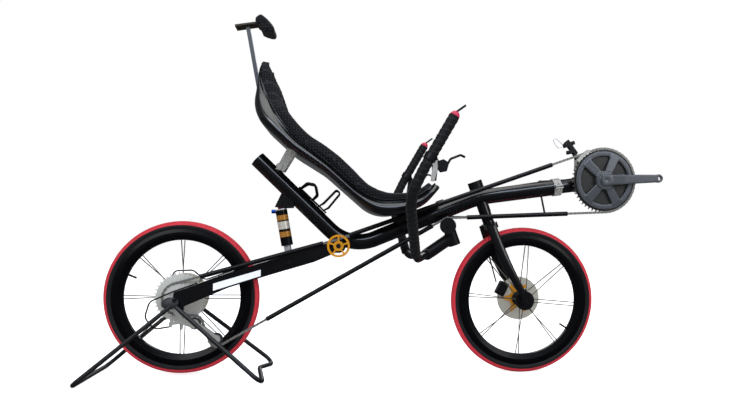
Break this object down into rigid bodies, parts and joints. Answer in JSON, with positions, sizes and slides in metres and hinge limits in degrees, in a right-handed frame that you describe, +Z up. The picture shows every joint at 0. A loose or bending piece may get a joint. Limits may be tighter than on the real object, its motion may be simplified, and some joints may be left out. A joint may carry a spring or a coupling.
{
  "type": "recumbent bicycle on hub stand",
  "caption": "Two-wheeled recumbent bicycle with under-seat steering, bucket seat, long chain line and disc brakes, upright on a folding hub stand.",
  "frame": {"origin": "floor, under the middle of the overall length and width", "axes": "+X forward, +Y to the rider's left, +Z up"},
  "size_m": [1.7634, 0.636, 1.088],
  "materials": {
    "frame_paint": "gloss black enamel",
    "silver_alloy": "satin",
    "dark_steel": "black oxide",
    "polished_steel": "polished",
    "shock_can": "gloss black with bronze bands",
    "blue_alloy": "anodised",
    "shell_gloss": "clear coated laminate",
    "pad_mesh": "open spacer mesh",
    "black_alloy": "black anodised",
    "chain_steel": "nickel plated",
    "tube_plastic": "extruded",
    "stand_paint": "powder coated",
    "stand_plastic": "moulded",
    "tyre_rubber": "red tread, black sidewall",
    "rim_gloss": "clear coated",
    "disc_steel": "brushed",
    "cassette_steel": "nickel plated",
    "ring_alloy": "anodised grey",
    "crank_grey": "anodised grey",
    "gold_alloy": "gold anodised",
    "bar_tape": "wrapped tape",
    "red_plastic": "moulded"
  },
  "bodies": {
    "frame": {"main_frame": "frame_paint", "boom": "frame_paint", "boom_clamp": "silver_alloy", "swingarm": "frame_paint", "pivot_bolts": "dark_steel", "shock_body": "shock_can", "shock_shaft": "polished_steel", "shock_bracket": "frame_paint", "shock_knob": "blue_alloy", "seat_shell": "shell_gloss", "seat_pad": "pad_mesh", "seat_strut": "silver_alloy", "seat_mount": "black_alloy", "headrest_post": "silver_alloy", "headrest_plate": "black_alloy", "headrest_pad": "pad_mesh", "rear_axle": "polished_steel", "rear_hose": "tube_plastic", "shift_cable": "tube_plastic", "tube_hanger": "polished_steel", "return_idler_bolt": "polished_steel", "chain": "chain_steel", "chain_tubes": "tube_plastic", "stand_rear": "stand_paint", "stand_front": "stand_paint", "stand_heads": "stand_plastic", "jockey_wheels": "stand_plastic", "derailleur_cage": "silver_alloy", "rear_derailleur": "silver_alloy", "front_derailleur": "black_alloy", "derailleur_post": "silver_alloy", "rear_caliper": "black_alloy", "bottle_cage": "black_alloy"},
    "rear_wheel": {"rear_tyre": "tyre_rubber", "rear_rim": "rim_gloss", "rear_hub": "black_alloy", "rear_disc": "disc_steel", "cassette": "cassette_steel"},
    "fork": {"fork": "frame_paint", "head_cap": "black_alloy", "front_axle": "polished_steel", "front_caliper": "black_alloy", "front_hose": "tube_plastic"},
    "front_wheel": {"front_tyre": "tyre_rubber", "front_rim": "rim_gloss", "front_hub": "black_alloy", "front_disc": "disc_steel"},
    "crankset": {"chainrings": "ring_alloy", "crank_right": "crank_grey", "crank_left": "crank_grey"},
    "power_idler": {"power_idler": "gold_alloy"},
    "return_idler": {"return_idler": "black_alloy"},
    "handlebar": {"handlebar": "black_alloy", "grips": "bar_tape", "bar_plugs": "red_plastic", "shift_levers": "black_alloy", "stem": "black_alloy", "lever_brackets": "silver_alloy", "brake_levers": "black_alloy"},
    "steering_rod": {"steering_rod": "black_alloy"}
  },
  "joints": [
    {"name": "rear_wheel_spin", "type": "hinge", "parent": "frame", "child": "rear_wheel", "pos_m": [-0.60818, 0, 0.2414], "axis": [0, 1, 0], "continuous": true},
    {"name": "steering", "type": "hinge", "parent": "frame", "child": "fork", "pos_m": [0.33043, 0, 0.5], "axis": [-0.342, 0, 0.9397], "range_deg": [-25, 25]},
    {"name": "front_wheel_spin", "type": "hinge", "parent": "fork", "child": "front_wheel", "pos_m": [0.44962, 0, 0.231], "axis": [0, 1, 0], "continuous": true},
    {"name": "handlebar_turn", "type": "hinge", "parent": "frame", "child": "handlebar", "pos_m": [0.21712, 0, 0.44], "axis": [-0.342, 0, 0.9397], "range_deg": [-25, 25]},
    {"name": "steering_rod_turn", "type": "hinge", "parent": "handlebar", "child": "steering_rod", "pos_m": [0.19747, 0.045, 0.494], "axis": [-0.342, 0, 0.9397], "range_deg": [-25, 25]},
    {"name": "crank_spin", "type": "hinge", "parent": "frame", "child": "crankset", "pos_m": [0.69883, 0, 0.614], "axis": [0, 1, 0], "continuous": true},
    {"name": "power_idler_spin", "type": "hinge", "parent": "frame", "child": "power_idler", "pos_m": [-0.13717, -0.045, 0.401], "axis": [0, 1, 0], "continuous": true},
    {"name": "return_idler_spin", "type": "hinge", "parent": "frame", "child": "return_idler", "pos_m": [0.19983, -0.045, 0.465], "axis": [0, 1, 0], "continuous": true}
  ],
  "couplings": [
    {"joint": "handlebar_turn", "follows": "steering", "ratio": 1},
    {"joint": "steering_rod_turn", "follows": "steering", "ratio": -1}
  ]
}
